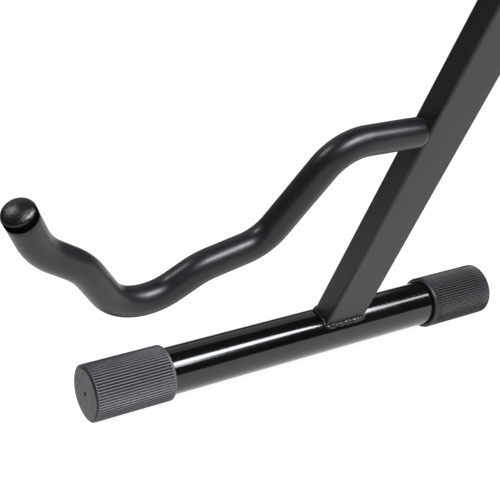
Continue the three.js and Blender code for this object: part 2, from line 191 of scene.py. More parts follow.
def rounded(corners, closed=False):
    """A 2-D outline whose corners, (x, y, radius), are rounded where they have a radius."""
    outline = []
    count = len(corners)
    for i, (x, y, radius) in enumerate(corners):
        here = Vector((x, y))
        if not radius or (not closed and i in (0, count - 1)):
            outline.append(here)
            continue
        before = Vector(corners[i - 1][:2])
        after = Vector(corners[(i + 1) % count][:2])
        into = (here - before).normalized()
        out = (after - here).normalized()
        turn = into.angle_signed(out)
        reach = radius * tan(abs(turn) / 2)
        start = here - into * reach
        side = 1 if turn < 0 else -1
        centre = start + Vector((-into.y, into.x)) * radius * side
        for step in range(CORNER_STEPS + 1):
            spoke = start - centre
            spoke.rotate(Matrix.Rotation(-turn * step / CORNER_STEPS, 2))
            outline.append(centre + spoke)
    return outline


def turned_rings(profile, sides, shape=None):
    """Rings around Y from (radius, along) points. shape(angle, radius, along) can change the
    radius around the turn."""
    rings = []
    for radius, along in profile:
        ring = []
        for i in range(sides):
            angle = i * 2 * pi / sides
            reach = shape(angle, radius, along) if shape else radius
            ring.append(Vector((reach * sin(angle), along, reach * cos(angle))))
        rings.append(ring)
    return rings


def evenly(start, end, step):
    count = max(1, round(abs(end - start) / step))
    return [start + (end - start) * i / count for i in range(count + 1)]


def smooth_step(x):
    x = min(max(x, 0), 1)
    return x * x * (3 - 2 * x)


def finish_piece(piece, body, node):
    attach(piece, body)
    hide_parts(node)
    return piece


# ---------------------------------------------------------------- materials


class Shader:
    """A Principled material and the few node patterns that the finishes are made of. Every
    pattern is placed by the surface's own coordinates, in metres."""

    def __init__(self, name, **settings):
        self.material = bpy.data.materials.new(name)
        self.material.use_nodes = True
        self.nodes = self.material.node_tree.nodes
        self.links = self.material.node_tree.links
        self.principled = self.nodes["Principled BSDF"]
        self.place = self.nodes.new("ShaderNodeTexCoord").outputs["Object"]
        self.normal = None
        for socket, value in settings.items():
            self.principled.inputs[socket.replace("_", " ")].default_value = value

    def noise(self, scale, detail=2, roughness=0.5, place=None):
        node = self.nodes.new("ShaderNodeTexNoise")
        node.inputs["Scale"].default_value = scale
        node.inputs["Detail"].default_value = detail
        node.inputs["Roughness"].default_value = roughness
        self.links.new(place or self.place, node.inputs["Vector"])
        return node.outputs["Fac"]

    def cells(self, scale):
        node = self.nodes.new("ShaderNodeTexVoronoi")
        node.inputs["Scale"].default_value = scale
        self.links.new(self.place, node.inputs["Vector"])
        return node.outputs["Distance"]

    def stretched(self, scale):
        node = self.nodes.new("ShaderNodeMapping")
        node.inputs["Scale"].default_value = scale
        self.links.new(self.place, node.inputs["Vector"])
        return node.outputs["Vector"]

    def ramp(self, source, *stops):
        """stops are (place, colour or grey)."""
        node = self.nodes.new("ShaderNodeValToRGB")
        elements = node.color_ramp.elements
        while len(elements) < len(stops):
            elements.new(0.5)
        for element, (position, value) in zip(elements, stops):
            colour = (value,) * 3 if isinstance(value, (int, float)) else value
            element.position = position
            element.color = (*colour, 1)
        self.links.new(source, node.inputs["Fac"])
        return node.outputs["Color"]

    def tone(self):
        node = self.nodes.new("ShaderNodeAttribute")
        node.attribute_name = "tone"
        return node.outputs["Fac"]

    def scaled(self, colour, factor):
        node = self.nodes.new("ShaderNodeVectorMath")
        node.operation = "SCALE"
        self.links.new(colour, node.inputs[0])
        self.links.new(factor, node.inputs["Scale"])
        return node.outputs["Vector"]

    def range(self, source, low, high, source_low=0.3, source_high=0.7):
        node = self.nodes.new("ShaderNodeMapRange")
        for name, value in zip(
            ("From Min", "From Max", "To Min", "To Max"), (source_low, source_high, low, high)
        ):
            node.inputs[name].default_value = value
        self.links.new(source, node.inputs["Value"])
        return node.outputs["Result"]

    def set(self, socket, source):
        self.links.new(source, self.principled.inputs[socket])

    def bump(self, source, depth, strength=1):
        node = self.nodes.new("ShaderNodeBump")
        node.inputs["Distance"].default_value = depth
        node.inputs["Strength"].default_value = strength
        self.links.new(source, node.inputs["Height"])
        if self.normal:
            self.links.new(self.normal, node.inputs["Normal"])
        self.normal = node.outputs["Normal"]
        self.links.new(self.normal, self.principled.inputs["Normal"])


def gloss_paint():
    """Thick gloss black: slow shade changes, slightly duller patches and a faint orange peel."""
    paint = Shader("gloss_black_paint", Coat_Weight=0.3, Coat_Roughness=0.07)
    tint = paint.noise(35, 3)
    paint.set("Base Color", paint.ramp(tint, (0.35, 0.0012), (0.7, 0.0028)))
    paint.set("Roughness", paint.range(paint.noise(60, 4), 0.11, 0.16))
    paint.bump(paint.noise(420, 2), 0.0000035)
    return paint.material


def powder_coat(name, base, roughness=0.42):
    """Satin powder coat: fine pebbled grain and a faint cloudiness."""
    coat = Shader(name, Specular_IOR_Level=0.42)
    cloud = coat.noise(45, 4)
    coat.set("Base Color", coat.ramp(cloud, (0.3, base * 0.88), (0.7, base * 1.12)))
    coat.set("Roughness", coat.range(coat.noise(900, 2), roughness - 0.05, roughness + 0.06))
    coat.bump(coat.noise(1500, 2, 0.6), 0.00003, 0.5)
    coat.bump(coat.noise(5200, 1), 0.000012, 0.5)
    return coat.material


def cap_rubber():
    """Moulded rubber: dull, with a fine bloom. Painted shade makes the grooves and the ring round the
    end's disc near black, and the rib crests are painted paler in place of their highlights.
    """
    rubber = Shader("ribbed_cap_rubber", Specular_IOR_Level=0.5)
    bloom = rubber.noise(140, 5, 0.65)
    colour = rubber.ramp(
        bloom, (0.3, (0.052, 0.052, 0.056)), (0.62, (0.072, 0.072, 0.079)), (0.8, (0.11, 0.11, 0.12))
    )
    # Painted shade: the tone darkens the colour to near black in the grooves and the disc's ring, and
    # lightens the rib crests in place of their highlights
    rubber.set("Base Color", rubber.scaled(colour, rubber.range(rubber.tone(), 0.03, 1.25, 0.25, 0.95)))
    rubber.set("Roughness", rubber.range(rubber.noise(500, 3), 0.42, 0.56))
    rubber.bump(rubber.noise(2600, 3, 0.6), 0.00003, 0.6)
    return rubber.material


def sleeve_foam():
    """Soft closed-cell sleeve: satin skin with a very fine grain and slow shade changes."""
    foam = Shader(
        "arm_sleeve_skin", Specular_IOR_Level=0.38, Sheen_Weight=0.03, Sheen_Roughness=0.5
    )
    shade = foam.noise(28, 3)
    foam.set("Base Color", foam.ramp(shade, (0.3, (0.004, 0.004, 0.005)), (0.7, (0.007, 0.007, 0.008))))
    foam.set("Roughness", foam.range(foam.noise(320, 3), 0.31, 0.37))
    foam.bump(foam.noise(160, 2), 0.00005, 0.2)
    foam.bump(foam.noise(1900, 2, 0.55), 0.000006, 0.2)
    return foam.material


def plug_rubber():
    """Hard black rubber, plain on its side and grained on its face, where it glints."""
    plug = Shader("end_plug_rubber", Specular_IOR_Level=0.3)
    face = plug.tone()
    grain = plug.ramp(plug.noise(1100, 3, 0.7), (0.35, 0.001), (0.72, 0.009))
    plug.set("Base Color", plug.scaled(grain, plug.range(face, 0.4, 1, 0, 1)))
    plug.set("Roughness", plug.range(face, 0.12, 0.25, 0.5, 1))
    plug.set("Specular IOR Level", plug.range(face, 0, 0.55, 0.55, 0.95))
    plug.bump(plug.noise(2300, 3, 0.65), 0.00016, 0.6)
    return plug.material


def black_plastic():
    """Moulded plastic with a fine even grain."""
    plastic = Shader("moulded_black_plastic")
    plastic.set("Base Color", plastic.ramp(plastic.noise(90, 3), (0.3, 0.014), (0.7, 0.021)))
    plastic.set("Roughness", plastic.range(plastic.noise(600, 3), 0.45, 0.6))
    plastic.bump(plastic.noise(2200, 2), 0.00003, 0.5)
    return plastic.material


def nylon():
    """Natural nylon: cream, waxy, with slow shade changes."""
    washer = Shader("natural_nylon", Subsurface_Weight=0.1)
    shade = washer.noise(200, 3)
    washer.set("Base Color", washer.ramp(shade, (0.3, (0.56, 0.54, 0.47)), (0.7, (0.66, 0.64, 0.58))))
    washer.set("Roughness", washer.range(washer.noise(700, 2), 0.38, 0.52))
    washer.bump(washer.noise(1800, 2), 0.00002, 0.4)
    return washer.material


def black_steel():
    """Blackened steel: dark, paler and slightly brown in patches, with fine tool marks."""
    steel = Shader("blackened_steel", Metallic=1)
    steel.set("Base Color", steel.ramp(
        steel.noise(380, 4, 0.6), (0.35, (0.035, 0.035, 0.037)), (0.62, (0.07, 0.068, 0.066)),
        (0.8, (0.16, 0.155, 0.15))
    ))
    steel.set("Roughness", steel.range(steel.noise(900, 3), 0.24, 0.42))
    steel.bump(steel.noise(1, 2, place=steel.stretched((500, 4000, 500))), 0.00001, 0.5)
    return steel.material


def bare_steel():
    """Plain turned steel with fine tool marks."""
    steel = Shader("turned_steel", Metallic=1)
    marks = steel.noise(1, 3, place=steel.stretched((150, 5200, 150)))
    steel.set("Base Color", steel.ramp(marks, (0.3, (0.44, 0.44, 0.45)), (0.7, (0.56, 0.56, 0.57))))
    steel.set("Roughness", steel.range(marks, 0.26, 0.4))
    steel.bump(marks, 0.00001, 0.5)
    return steel.material


def pad_rubber():
    """Soft moulding with a leathery pebble grain."""
    pad = Shader("back_pad_rubber", Sheen_Weight=0.1)
    pebble = pad.cells(900)
    pad.set("Base Color", pad.ramp(pad.noise(60, 4), (0.3, 0.018), (0.7, 0.028)))
    pad.set("Roughness", pad.range(pebble, 0.72, 0.56, 0, 0.6))
    pad.bump(pebble, 0.0001, 0.6)
    pad.bump(pad.noise(3000, 2), 0.00002, 0.5)
    return pad.material


GLOSS_PAINT = gloss_paint()
POWDER_COAT = powder_coat("satin_powder_coat", 0.0075)
# The weld's coat is a darker copy of the leg's: painted shade in the corner at the leg's base
SHADED_WELD_COAT = powder_coat("shaded_weld_powder_coat", 0.005, 0.30)
CAP_RUBBER = cap_rubber()
SLEEVE_FOAM = sleeve_foam()
PLUG_RUBBER = plug_rubber()
BLACK_PLASTIC = black_plastic()
NYLON = nylon()
BLACK_STEEL = black_steel()
BARE_STEEL = bare_steel()
PAD_RUBBER = pad_rubber()

# ---------------------------------------------------------------- foot

TUBE_SIDES = 128
TUBE_STEP = 20 * MM
RIB_COUNT = 60
RIB_SAMPLES = 10
RIB_DEPTH = 0.75 * MM
RIB_START = 0.9 * MM
RIB_RIM = 1.3 * MM
RIB_FADE = 0.6 * MM
RIB_STEP = 6 * MM
RIB_END_STEP = 0.2 * MM
GROOVE_NARROWNESS = 1.4
DISC_RADIUS = 13.3 * MM
# The end disc's level in the caps' painted shade
DISC_TONE = 0.6
# Share of the front caps' tone that the rear caps get: painted shade on the rear caps
REAR_CAP_SHADE = 0.35


def foot_tube():
    """The tube between the caps, open at both ends, with eased edges."""
    bore = FOOT_RADIUS - FOOT_WALL
    seat = CAP_END + GAP
    ease = 0.3 * MM
    front, rear = seat - FOOT_FRONT, FOOT_REAR - seat
    profile = [
        (bore, front),
        (FOOT_RADIUS - ease, front),
        (FOOT_RADIUS, front + ease),
        *[(FOOT_RADIUS, y) for y in evenly(front + 2 * ease, rear - 2 * ease, TUBE_STEP)],
        (FOOT_RADIUS, rear - ease),
        (FOOT_RADIUS - ease, rear),
        (bore, rear),
    ]
    return turned_rings(profile, TUBE_SIDES)


def rib_groove(angle, radius, along):
    """Grooves between the ribs, deepest in the cap's side and fading at both ends."""
    if radius < CAP_RADIUS - RIB_DEPTH:
        return radius
    fade_in = smooth_step((along - RIB_START) / RIB_FADE)
    fade_out = smooth_step((CAP_LENGTH - RIB_RIM - along) / RIB_FADE)
    wave = 0.5 - 0.5 * cos(RIB_COUNT * angle)
    return radius - RIB_DEPTH * wave ** GROOVE_NARROWNESS * fade_in * fade_out


def cap_shade_tone(point):
    """Painted shade: 0, darkest, in the bottom of a groove and in the ring round the end's disc, 1,
    palest, on a rib.
    """
    reach = hypot(point.x, point.z)
    if point.y < RIB_START / 3:
        return DISC_TONE if reach < DISC_RADIUS - 0.1 * MM else 0
    return (reach - CAP_RADIUS + RIB_DEPTH) / RIB_DEPTH


def rear_cap_shade_tone(point):
    """Painted shade: the rear caps' ribs are painted darker than the front caps'."""
    return REAR_CAP_SHADE * cap_shade_tone(point)


def foot_cap():
    """Closed end at the origin, mouth towards +Y."""
    hole = 0.9 * MM
    hole_depth = 2 * MM
    groove = 0.45 * MM
    mouth_bore = FOOT_RADIUS + 0.05 * MM
    profile = rounded([
        (0.2 * MM, hole_depth, 0),
        (hole, hole_depth, 0.1 * MM),
        (hole, 0.4 * MM, 0),
        (hole + 0.4 * MM, 0, 0.2 * MM),
        (DISC_RADIUS, 0, 0.25 * MM),
        (DISC_RADIUS + 0.3 * MM, groove, 0.15 * MM),
        (DISC_RADIUS + 0.9 * MM, groove, 0.3 * MM),
        (CAP_RADIUS, RIB_START, 0.2 * MM),
        (CAP_RADIUS, RIB_START + 0.1 * MM, 0),
    ])
    ribbed_to = CAP_LENGTH - RIB_RIM
    ends = evenly(RIB_START, RIB_START + RIB_FADE, RIB_END_STEP)[1:]
    ends += evenly(RIB_START + RIB_FADE, ribbed_to - RIB_FADE, RIB_STEP)[1:]
    ends += evenly(ribbed_to - RIB_FADE, ribbed_to, RIB_END_STEP)[1:]
    side = [Vector((CAP_RADIUS, along)) for along in ends]
    mouth = rounded([
        (CAP_RADIUS, ribbed_to + 0.2 * MM, 0),
        (CAP_RADIUS, CAP_LENGTH, 0.9 * MM),
        (mouth_bore, CAP_LENGTH, 0.5 * MM),
        (mouth_bore, CAP_END, 0.5 * MM),
        (1 * MM, CAP_END, 0),
    ])
    return turned_rings(profile + side + mouth, RIB_COUNT * RIB_SAMPLES, rib_groove)


# ---------------------------------------------------------------- leg


def leg_outline(grow=0.0):
    """The leg's section, as (across, depth) points. Points close to each corner keep the flats
    flat when they are shaded smoothly."""
    x, y = LEG_WIDTH / 2 + grow, LEG_DEPTH / 2 + grow
    radius = max(LEG_CORNER + grow, 0.2 * MM)
    outline = []
    corners = ((x, y), (-x, y), (-x, -y), (x, -y))
    for i, (cx, cy) in enumerate(corners):
        centre = Vector((cx - radius * (1 if cx > 0 else -1), cy - radius * (1 if cy > 0 else -1)))
        for step in range(CORNER_STEPS + 1):
            angle = (i + step / CORNER_STEPS) * pi / 2
            outline.append(centre + radius * Vector((cos(angle), sin(angle))))
        ahead = Vector(corners[(i + 1) % 4])
        heading = (ahead - Vector((cx, cy))).normalized()
        start = outline[-1]
        end = start + heading * ((ahead - Vector((cx, cy))).length - 2 * radius)
        ease = 0.25 * MM
        outline += [start + heading * ease, end - heading * ease]
    return outline


def on_foot(x, y, clearance):
    """How far up the leg a point of its section meets the foot tube, at a clearance from it."""
    height = sqrt((FOOT_RADIUS + clearance) ** 2 - x * x)
    return (height + y * sin(leg_lean)) / cos(leg_lean)


LEG_STEP = 15 * MM
LEG_STRAIGHT_FROM = 25 * MM
TUBE_MOUTH = 4 * MM


def leg_layers(layers):
    """Rings of the leg's section, from (growth, height) pairs."""
    return [[Vector((x, y, z)) for x, y in leg_outline(grow)] for grow, z in layers]


def leg_tube():
    """The tube down to the foot, with an open mouth at the top that the plug fills."""
    edge = 0.25 * MM
    layers = [
        (-LEG_WALL, leg_top - TUBE_MOUTH),
        (-LEG_WALL, leg_top - 0.2 * MM),
        (-0.8 * MM, leg_top),
        (-edge, leg_top),
        (0, leg_top - edge),
    ]
    layers += [(0, z) for z in evenly(leg_top - 1 * MM, LEG_STRAIGHT_FROM, LEG_STEP)]
    foot = [Vector((x, y, on_foot(x, y, 0.1 * MM))) for x, y in leg_outline()]
    return leg_layers(layers) + [foot]


def top_plug():
    """Spigot in the tube's mouth, and a head with rounded edges and a sunk middle."""
    fit = -LEG_WALL - GAP
    top = leg_top + GAP + LEG_PLUG_HEAD
    layers = [
        (fit, leg_top - 5 * MM),
        (fit, leg_top + 0.1 * MM),
        (-0.2 * MM, leg_top + 0.15 * MM),
        (0, leg_top + 0.35 * MM),
        (0, top - 0.9 * MM),
        (-0.15 * MM, top - 0.4 * MM),
        (-0.45 * MM, top - 0.12 * MM),
        (-0.95 * MM, top),
        (-2.2 * MM, top),
        (-2.5 * MM, top - 0.25 * MM),
        (-3.2 * MM, top - 0.25 * MM),
    ]
    return leg_layers(layers)


# ---------------------------------------------------------------- weld bead

BEAD_RADIUS = 1.55 * MM
BEAD_STEP = 0.25 * MM
BEAD_SIDES = 24
BEAD_OUT = 0.3 * MM
BEAD_UP = 0.35 * MM
RIPPLE_PITCH = 1.9 * MM

# Shares of the bead's radius
RIPPLE = 0.24
LUMPS = 0.38
SLOW_LUMPS = 0.25
CREASES = 0.16

# How often they come, per metre, and how far the creases' pattern moves on per radian
LUMPS_PER_METRE = 520
SLOW_LUMPS_PER_METRE = 150
CREASES_PER_METRE = 900
CREASE_TURN = 2 * MM
SLOW_LUMPS_SEED = 5

# The bead is thinner across the leg's front and rear
THINNING = 0.6
THINNING_REACH = 3 * MM


def weld_bead(seed):
    """A rippled, lumpy bead round the leg's base, in the corner between leg and tube."""
    outline = leg_outline(BEAD_OUT)
    track = []
    for i, here in enumerate(outline):
        ahead = outline[(i + 1) % len(outline)]
        for part in evenly(0, 1, BEAD_STEP / max((ahead - here).length, BEAD_STEP))[:-1]:
            track.append(here.lerp(ahead, part))
    points = [Vector((x, y, on_foot(x, y, BEAD_UP))) for x, y in track]
    length = 0
    up = Vector((0, 0, 1))
    rings = []
    for i, point in enumerate(points):
        ahead = points[(i + 1) % len(points)]
        heading = (ahead - points[i - 1]).normalized()
        side = heading.cross(up).normalized()
        rise = side.cross(heading).normalized()
        ripple = (length / RIPPLE_PITCH) % 1
        flat = Vector((point.x, point.y, 0))
        lump = noise.noise(flat * LUMPS_PER_METRE + Vector((0, 0, seed)))
        slow = noise.noise(flat * SLOW_LUMPS_PER_METRE + Vector((0, 0, seed + SLOW_LUMPS_SEED)))
        swell = 1 + RIPPLE * (1 - ripple) ** 2 + LUMPS * lump + SLOW_LUMPS * slow
        past_side = abs(point.y) - LEG_DEPTH / 2 + THINNING_REACH
        swell *= 1 - THINNING * smooth_step(past_side / THINNING_REACH)
        ring = []
        for j in range(BEAD_SIDES):
            angle = j * 2 * pi / BEAD_SIDES
            moved_on = point + Vector((0, 0, angle * CREASE_TURN))
            crease = 1 + CREASES * noise.noise(moved_on * CREASES_PER_METRE)
            reach = BEAD_RADIUS * swell * crease
            ring.append(point + reach * (cos(angle) * side + sin(angle) * rise))
        rings.append(ring)
        length += (ahead - point).length
    return rings


# ---------------------------------------------------------------- arm

SLEEVE_SIDES = 64
SLEEVE_STEP = 1.2 * MM
SLEEVE_LIP = 0.4 * MM
SLEEVE_WAVINESS = 0.012
SLEEVE_WAVES_PER_METRE = 40
SLEEVE_END_EASE = 0.3 * MM
SLEEVE_MOUTH = 6 * MM
ROOT_BLEND = 3 * SLEEVE_RADIUS
ROD_SIDES = 24
ROD_ROOT = 18 * MM
ROD_SHORT_BY = 8
face_slope = tan(leg_lean)


def leg_face_at(z):
    """Where the leg's front face is along the foot, at a height in the half's plane."""
    return z * face_slope - LEG_DEPTH / 2 / cos(leg_lean)


def arm_track():
    """(point, heading) pairs along the arm's centreline, in the half's plane as (y, z)."""
    root_y = leg_face_at(ARM_HEIGHT)
    corners = [(root_y - f, ARM_HEIGHT + u, r) for f, u, r in ARM_CORNERS]
    stations = [(root_y, ARM_HEIGHT, 0), *corners, (root_y - ARM_TIP[0], ARM_HEIGHT + ARM_TIP[1], 0)]
    track = []
    reached = Vector(stations[0][:2])
    for i in range(1, len(stations)):
        here = Vector(stations[i][:2])
        into = (here - Vector(stations[i - 1][:2])).normalized()
        if i == len(stations) - 1:
            stretch = (here - reached).length
            track += [(reached + into * s, into) for s in evenly(0, stretch, SLEEVE_STEP)]
            break
        out = (Vector(stations[i + 1][:2]) - here).normalized()
        turn = atan2(into.x * out.y - into.y * out.x, into.dot(out))
        radius = stations[i][2]
        start = here - into * radius * tan(abs(turn) / 2)
        stretch = (start - reached).length
        track += [(reached + into * s, into) for s in evenly(0, stretch, SLEEVE_STEP)[:-1]]
        side = 1 if turn > 0 else -1
        centre = start + Vector((-into.y, into.x)) * radius * side
        steps = max(2, round(radius * abs(turn) / SLEEVE_STEP))
        for step in range(steps):
            part = Matrix.Rotation(turn * step / steps, 2)
            track.append((centre + part @ (start - centre), part @ into))
        reached = centre + Matrix.Rotation(turn, 2) @ (start - centre)
    return track


def section(point, heading, radius, sides):
    """A ring round a point of the arm's centreline, square to its heading."""
    up = Vector((0, -heading.y, heading.x))
    centre = Vector((0, *point))
    across = Vector((1, 0, 0))
    return [
        centre + radius * (cos(a) * across + sin(a) * up)
        for a in (j * 2 * pi / sides for j in range(sides))
    ]


def arm_sleeve(seed):
    """The sleeve's skin and its open end. Its root follows the leg's sloping face."""
    track = arm_track()
    rings = []
    for i, (point, heading) in enumerate(track):
        along = i * SLEEVE_STEP
        ease = min(along, SLEEVE_LIP) / SLEEVE_LIP
        radius = SLEEVE_RADIUS - SLEEVE_LIP * (1 - sqrt(1 - (1 - ease) ** 2))
        if i == len(track) - 1:
            radius -= SLEEVE_END_EASE
        wobble = noise.noise(Vector((along * SLEEVE_WAVES_PER_METRE, seed, 0)))
        radius *= 1 - SLEEVE_WAVINESS + SLEEVE_WAVINESS * wobble
        ring = section(point, heading, radius, SLEEVE_SIDES)
        if along < ROOT_BLEND:
            pull = 1 - smooth_step(along / ROOT_BLEND)
            for vertex in ring:
                vertex.y += pull * (leg_face_at(vertex.z) - leg_face_at(ARM_HEIGHT))
        rings.append(ring)
    tip, heading = track[-1]
    rings.append(section(tip - heading * 0.2 * MM, heading, SLEEVE_BORE + 0.2 * MM, SLEEVE_SIDES))
    rings.append(section(tip - heading * SLEEVE_MOUTH, heading, SLEEVE_BORE, SLEEVE_SIDES))
    return rings


PLUG_SIDES = 96
PLUG_FACE_STEP = 0.3 * MM
PLUG_GRAIN = 0.05 * MM
PLUG_GRAINS_PER_METRE = 1500
PLUG_GRAIN_INSET = 0.6 * MM
PLUG_GRAIN_FADE = 1 * MM
PLUG_DOME_FROM = 3.6 * MM
PLUG_SHOULDER = 1.5 * MM
PLUG_SHOULDER_STEPS = 12
PLUG_SPIGOT = 5 * MM


def plug_tone(point):
    """0 on the plug's side, 1 on its face."""
    return smooth_step((point.y - PLUG_DOME_FROM) / PLUG_SHOULDER)


def end_plug(seed):
    """Turned around Y, its seat at the origin and its face towards +Y, with a moulded grain on
    the face."""
    edge = SLEEVE_RADIUS
    spigot = SLEEVE_BORE - 0.2 * MM
    profile = rounded([
        (1 * MM, -PLUG_SPIGOT, 0),
        (spigot, -PLUG_SPIGOT, 0.3 * MM),
        (spigot, 0.15 * MM, 0.1 * MM),
        (edge - 0.25 * MM, 0.15 * MM, 0.1 * MM),
        (edge, 0.5 * MM, 0.2 * MM),
        (edge, PLUG_DOME_FROM, 0),
    ])
    crown = PLUG_HEIGHT - PLUG_GRAIN - PLUG_DOME_FROM - PLUG_SHOULDER
    for i in range(1, PLUG_SHOULDER_STEPS + 1):
        turn = i / PLUG_SHOULDER_STEPS * pi / 2
        radius = edge - PLUG_SHOULDER * (1 - cos(turn))
        rise = PLUG_SHOULDER * sin(turn) + crown * (1 - (radius / edge) ** 2)
        profile.append(Vector((radius, PLUG_DOME_FROM + rise)))
    for radius in evenly(edge - PLUG_SHOULDER, PLUG_FACE_STEP, PLUG_FACE_STEP)[1:]:
        rise = PLUG_SHOULDER + crown * (1 - (radius / edge) ** 2)
        profile.append(Vector((radius, PLUG_DOME_FROM + rise)))
    rings = turned_rings(profile, PLUG_SIDES)
    for ring in rings:
        for vertex in ring:
            reach = hypot(vertex.x, vertex.z)
            depth = PLUG_GRAIN * smooth_step((edge - PLUG_GRAIN_INSET - reach) / PLUG_GRAIN_FADE)
            if vertex.y > PLUG_DOME_FROM:
                grain = noise.noise(vertex * PLUG_GRAINS_PER_METRE + Vector((seed, 0, 0)))
                vertex.y += depth * grain
    return rings


def plug_frame():
    tip, heading = arm_track()[-1]
    aim = Vector((0, 1, 0)).rotation_difference(Vector((0, *heading)))
    return plane_frame @ Matrix.Translation(Vector((0, *tip))) @ aim.to_matrix().to_4x4()


# ---------------------------------------------------------------- both halves


def rod_rings():
    """The bent rod, which is hidden in the sleeve and the leg."""
    track = arm_track()
    root = (track[0][0] + Vector((ROD_ROOT, 0)), Vector((-1, 0)))
    stations = [root, *track[:-ROD_SHORT_BY]]
    return [section(point, heading, ROD_RADIUS, ROD_SIDES) for point, heading in stations]


def ring_piece(inside, outside, start, end, ease):
    """A washer, bush or spacer around Y with eased edges, as a closed loop of rings."""
    return turned_rings(rounded([
        (inside, start, ease), (outside, start, ease), (outside, end, ease), (inside, end, ease),
    ], closed=True), RING_SIDES)


FIRST_SEED = 1
NEXT_SEED = 3.7


def build_half(side, mirror, seed):
    """Every piece of one half. The seed sets the lumps and waves of its weld, sleeve and plug."""
    body = f"{side}_half"

    def add(node, rings, place, material, slot, **options):
        name = f"{side}_{node}"
        piece = add_mesh(name, rings, mirror @ place, material, **options)
        return finish_piece(piece, body, f"{node}_{side}")

    front = foot_frame @ Matrix.Translation((0, -FOOT_FRONT, 0))
    rear = foot_frame @ Matrix.Translation((0, FOOT_REAR, 0)) @ Matrix.Rotation(pi, 4, "Z")
    add("foot_tube", foot_tube(), foot_frame, GLOSS_PAINT, "gloss_paint", loop=True)
    # The caps' tone is painted shade: dark grooves and a dark ring round the disc, paler rib crests
    add("foot_cap_front", foot_cap(), front, CAP_RUBBER, "cap_rubber", sharp=radians(60),
        tone=cap_shade_tone)
    # The rear caps' tone is darkened further: painted shade
    add("foot_cap_rear", foot_cap(), rear, CAP_RUBBER, "cap_rubber", sharp=radians(60),
        tone=rear_cap_shade_tone)
    add("leg_tube", leg_tube(), leg_frame, POWDER_COAT, "powder_coat")
    add("leg_top_plug", top_plug(), leg_frame, BLACK_PLASTIC, "black_plastic")
    # The weld is coloured darker than the leg: painted shade in the corner
    add("foot_weld", weld_bead(seed), leg_frame, SHADED_WELD_COAT, "powder_coat", loop=True, sharp=pi)
    add("arm_rod", rod_rings(), plane_frame, BARE_STEEL, "bare_steel")
    add("arm_sleeve", arm_sleeve(seed), plane_frame, SLEEVE_FOAM, "sleeve_foam")
    add("arm_end_plug", end_plug(seed), plug_frame(), PLUG_RUBBER, "plug_rubber", sharp=radians(50),
        tone=plug_tone)
    bush = ring_piece(BOLT_RADIUS + GAP, BUSH_RADIUS, -LEG_DEPTH / 2, LEG_DEPTH / 2, 0.2 * MM)
    at_pivot = leg_frame @ Matrix.Translation((0, 0, LEG_TO_PIVOT))
    add("pivot_bush", bush, at_pivot, BARE_STEEL, "bare_steel", loop=True)


for number, (side_name, side_mirror) in enumerate(SIDES.items()):
    build_half(side_name, side_mirror, FIRST_SEED + NEXT_SEED * number)

# ---------------------------------------------------------------- head

ARC_POINTS = 28
STRAIGHT_POINTS = 6


def head_outline(margin):
    """The plates' outline around the pivots and the stop, grown by a margin."""
    circles = [
        (Vector((-pivot_offset, 0)), PLATE_PIVOT_MARGIN + margin),
        (Vector((pivot_offset, 0)), PLATE_PIVOT_MARGIN + margin),
        (Vector((0, stop_height)), PLATE_STOP_MARGIN + margin),
    ]

    def tangent(one, other):
        gap = other[0] - one[0]
        return atan2(gap.y, gap.x) - acos((one[1] - other[1]) / gap.length)

    outline = []
    for i, circle in enumerate(circles):
        start = tangent(circles[i - 1], circle)
        end = tangent(circle, circles[(i + 1) % 3])
        end += 2 * pi if end < start else 0
        arc = [start + (end - start) * j / ARC_POINTS for j in range(ARC_POINTS + 1)]
        outline += [circle[0] + circle[1] * Vector((cos(a), sin(a))) for a in arc]
    full = []
    for i, here in enumerate(outline):
        full.append(here)
        if i % (ARC_POINTS + 1) == ARC_POINTS:
            ahead = outline[(i + 1) % len(outline)]
            full += [here.lerp(ahead, (k + 1) / (STRAIGHT_POINTS + 1)) for k in range(STRAIGHT_POINTS)]
    return full


def layered(layers):
    """Rings of the head's outline, from (margin, place along Y) pairs."""
    return [[Vector((x, y, z)) for x, z in head_outline(margin)] for margin, y in layers]


def head_plate(start, end):
    """A plate between two places along Y, with eased edges."""
    ease = 0.6 * MM
    cut = 0.3 * ease
    middle = -9 * MM
    inset = -4 * MM
    return layered([
        (middle, start), (inset, start), (-ease, start), (-cut, start + cut), (0, start + ease),
        (0, end - ease), (-cut, end - cut), (-ease, end), (inset, end), (middle, end),
    ])


# The pad's edge rolls over from its back, and its face is crowned and has a pressed line
PAD_ROLL_STEPS = 12
PAD_ROLL_FROM = 1.2 * MM
PAD_ROLL_IN = 5 * MM
PAD_ROLL_LEFT = 2.6 * MM
PAD_CROWN = 1.4 * MM
PAD_FACE_STEP = 0.3 * MM
PAD_FACE_EDGE = -3.9 * MM
PAD_FACE_MIDDLE = -10.8 * MM
PAD_LINE_AT = -6.2 * MM
PAD_LINE_DEPTH = 0.55 * MM
PAD_LINE_WIDTH = 0.8 * MM


def back_pad():
    """Soft crowned moulding with a rolled edge and a pressed line round its face."""
    back = -pad_back
    front = -pad_back - PAD_THICKNESS
    layers = [(-9 * MM, back), (-2 * MM, back), (PAD_OVERHANG - 0.8 * MM, back)]
    for i in range(PAD_ROLL_STEPS + 1):
        turn = i / PAD_ROLL_STEPS * pi / 2
        margin = PAD_OVERHANG - PAD_ROLL_IN * (1 - cos(turn)) ** 1.2
        depth = (PAD_THICKNESS - PAD_ROLL_LEFT) * sin(turn) ** 0.9
        layers.append((margin, back - PAD_ROLL_FROM - depth))
    face_width = PAD_FACE_EDGE - PAD_FACE_MIDDLE
    for margin in evenly(PAD_FACE_EDGE, PAD_FACE_MIDDLE, PAD_FACE_STEP):
        crown = PAD_CROWN * (1 - ((margin - PAD_FACE_MIDDLE) / face_width) ** 2)
        pressed = PAD_LINE_DEPTH * max(0, 1 - ((margin - PAD_LINE_AT) / PAD_LINE_WIDTH) ** 2)
        layers.append((margin, front + PAD_CROWN - crown + pressed))
    return layered(layers)


